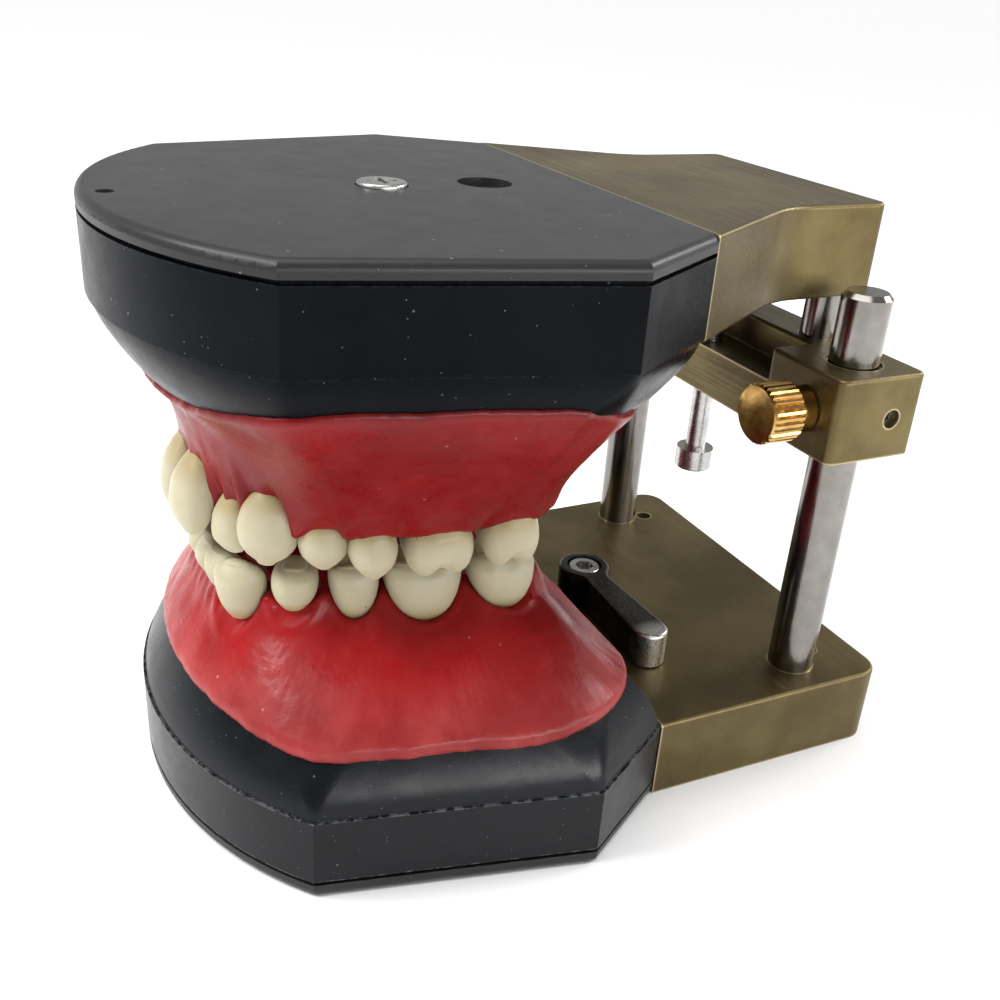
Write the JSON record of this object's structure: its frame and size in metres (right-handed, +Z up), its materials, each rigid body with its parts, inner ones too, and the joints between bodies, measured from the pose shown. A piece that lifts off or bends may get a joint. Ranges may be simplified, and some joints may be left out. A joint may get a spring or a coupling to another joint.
{
  "type": "typodont model",
  "caption": "Bench typodont: two wax-filled jaw trays with resin teeth on a brass articulator with a sliding carriage, lifting arm and lock lever.",
  "frame": {"origin": "middle of the model's footprint, on the surface it stands on", "axes": "+Z up, -Y towards the front teeth, +X towards the patient's left side"},
  "size_m": [0.0782, 0.1009, 0.0764],
  "materials": {
    "tray_plastic": "satin moulded black, scuffed edges",
    "lid_plastic": "satin dark grey",
    "wax": "soft waxy sheen, red",
    "tooth_resin": "glossy ivory resin",
    "antique_brass": "brushed and darkened brass",
    "bright_brass": "bright turned brass",
    "polished_steel": "ground and polished",
    "lever_steel": "bead-blasted face, polished tip",
    "screw_steel": "plain steel fastener"
  },
  "bodies": {
    "base": {"base_plate": "antique_brass", "post_left": "polished_steel", "post_right": "polished_steel", "post_lock_screws": "screw_steel", "lever_screw": "screw_steel"},
    "lever": {"lock_lever": "lever_steel"},
    "lower_jaw": {"lower_tray": "tray_plastic", "lower_bottom_plate": "lid_plastic", "lower_plate_screw": "screw_steel", "lower_tongue": "screw_steel", "lower_tongue_screws": "screw_steel", "lower_wax": "wax", "lower_left_central_incisor": "tooth_resin", "lower_left_lateral_incisor": "tooth_resin", "lower_left_canine": "tooth_resin", "lower_left_first_premolar": "tooth_resin", "lower_left_second_premolar": "tooth_resin", "lower_left_first_molar": "tooth_resin", "lower_left_second_molar": "tooth_resin", "lower_right_central_incisor": "tooth_resin", "lower_right_lateral_incisor": "tooth_resin", "lower_right_canine": "tooth_resin", "lower_right_first_premolar": "tooth_resin", "lower_right_second_premolar": "tooth_resin", "lower_right_first_molar": "tooth_resin", "lower_right_second_molar": "tooth_resin"},
    "carriage": {"carriage": "antique_brass", "side_lock_screws": "screw_steel"},
    "thumb_screw_left": {"thumb_screw_left": "bright_brass"},
    "thumb_screw_right": {"thumb_screw_right": "bright_brass"},
    "upper_jaw": {"upper_arm": "antique_brass", "guide_pillar_left": "polished_steel", "guide_pillar_right": "polished_steel", "upper_tongue": "screw_steel", "upper_tongue_screws": "screw_steel", "upper_tray": "tray_plastic", "upper_lid": "lid_plastic", "lid_screw": "screw_steel", "lid_front_pin": "screw_steel", "jaw_clamp_screw": "screw_steel", "upper_wax": "wax", "upper_left_central_incisor": "tooth_resin", "upper_left_lateral_incisor": "tooth_resin", "upper_left_canine": "tooth_resin", "upper_left_first_premolar": "tooth_resin", "upper_left_second_premolar": "tooth_resin", "upper_left_first_molar": "tooth_resin", "upper_left_second_molar": "tooth_resin", "upper_right_central_incisor": "tooth_resin", "upper_right_lateral_incisor": "tooth_resin", "upper_right_canine": "tooth_resin", "upper_right_first_premolar": "tooth_resin", "upper_right_second_premolar": "tooth_resin", "upper_right_first_molar": "tooth_resin", "upper_right_second_molar": "tooth_resin"},
    "stop_screw": {"stop_screw": "screw_steel"}
  },
  "joints": [
    {"name": "carriage_slide", "type": "slide", "parent": "base", "child": "carriage", "axis": [0, 0, 1], "range_m": [0, 0.009]},
    {"name": "arm_lift", "type": "slide", "parent": "carriage", "child": "upper_jaw", "axis": [0, 0, 1], "range_m": [0, 0.01]},
    {"name": "lever_swing", "type": "hinge", "parent": "base", "child": "lever", "pos_m": [-0.0025, 0.0189, 0.014], "axis": [0, 0, 1], "range_deg": [0, 180]},
    {"name": "lower_jaw_slide", "type": "slide", "parent": "base", "child": "lower_jaw", "axis": [0, -1, 0], "range_m": [0, 0.014]},
    {"name": "thumb_screw_left_turn", "type": "hinge", "parent": "carriage", "child": "thumb_screw_left", "pos_m": [0.0245, 0.028, 0.05175], "axis": [0, 1, 0], "continuous": true},
    {"name": "thumb_screw_right_turn", "type": "hinge", "parent": "carriage", "child": "thumb_screw_right", "pos_m": [-0.0245, 0.028, 0.05175], "axis": [0, 1, 0], "continuous": true},
    {"name": "stop_screw_turn", "type": "hinge", "parent": "upper_jaw", "child": "stop_screw", "pos_m": [0, 0.0348, 0.05], "axis": [0, 0, 1], "continuous": true}
  ]
}
